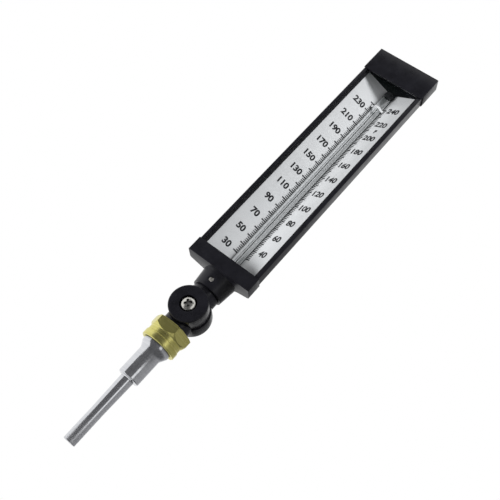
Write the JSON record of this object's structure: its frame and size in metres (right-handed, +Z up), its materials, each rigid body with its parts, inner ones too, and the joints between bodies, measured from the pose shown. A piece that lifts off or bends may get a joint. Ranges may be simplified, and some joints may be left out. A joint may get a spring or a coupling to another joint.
{
  "type": "adjustable-angle industrial thermometer",
  "caption": "V-case liquid-in-glass thermometer with a tilting and turning elbow, a union nut and a stepped stem that reads a pipe or tank through a thermowell",
  "frame": {"origin": "on the stem's axis at the mouth of the union nut, where the thermowell's threaded end comes in", "axes": "+Z runs up the stem and the upright case, -Y is the side that the scale faces, +X is to the right of someone reading it"},
  "size_m": [0.073, 0.04, 0.5143],
  "materials": {
    "case_black": "semi-gloss black moulding",
    "elbow_black": "semi-gloss black moulding, smooth faces",
    "pane_glass": "clear flat pane",
    "scale_white": "satin white enamel on sheet aluminium, black print",
    "tube_glass": "clear lens-front glass",
    "column_dark": "dark organic liquid",
    "bright_steel": "bright zinc-plated steel",
    "black_rubber": "soft black rubber",
    "brown_fibre": "vulcanised fibre",
    "nut_brass": "machined brass",
    "stem_aluminium": "polished turned aluminium",
    "bulb_steel": "plain drawn tube",
    "capillary_metal": "fine drawn copper tube"
  },
  "bodies": {
    "stem": {"stem": "stem_aluminium", "sensing_bulb": "bulb_steel", "lower_elbow": "elbow_black", "pivot_screw": "bright_steel", "pivot_washer": "bright_steel", "pivot_nut": "bright_steel", "friction_washer": "brown_fibre", "capillary": "capillary_metal"},
    "slip_ring": {"nut_ring": "nut_brass"},
    "nut": {"union_nut": "nut_brass"},
    "elbow": {"upper_elbow": "elbow_black", "swivel_ring": "black_rubber"},
    "case": {"case_body": "case_black", "top_cap": "case_black", "bottom_cap": "case_black", "cap_screws": "bright_steel", "window": "pane_glass", "glazing_strips": "black_rubber", "scale_plate": "scale_white", "reading_tube": "tube_glass", "tube_clip": "bright_steel", "tube_bumper": "black_rubber", "tube_ferrule": "bright_steel", "tube_grommet": "black_rubber", "neck_set_screw": "bright_steel"},
    "column": {"indicating_column": "column_dark"}
  },
  "joints": [
    {"name": "nut_slide", "type": "slide", "parent": "stem", "child": "slip_ring", "axis": [0, 0, 1], "range_m": [-0.0106, 0]},
    {"name": "nut_spin", "type": "hinge", "parent": "slip_ring", "child": "nut", "pos_m": [0, 0, 0], "axis": [0, 0, 1], "continuous": true},
    {"name": "elbow_tilt", "type": "hinge", "parent": "stem", "child": "elbow", "pos_m": [0, 0, 0.0453], "axis": [0, 1, 0], "range_deg": [-90, 90], "deforming": ["capillary"]},
    {"name": "case_turn", "type": "hinge", "parent": "elbow", "child": "case", "pos_m": [0, 0, 0.0783], "axis": [0, 0, 1], "range_deg": [-180, 180]},
    {"name": "column_rise", "type": "slide", "parent": "case", "child": "column", "axis": [0, 0, 1], "range_m": [-0.2286, 0], "deforming": ["indicating_column"]}
  ]
}
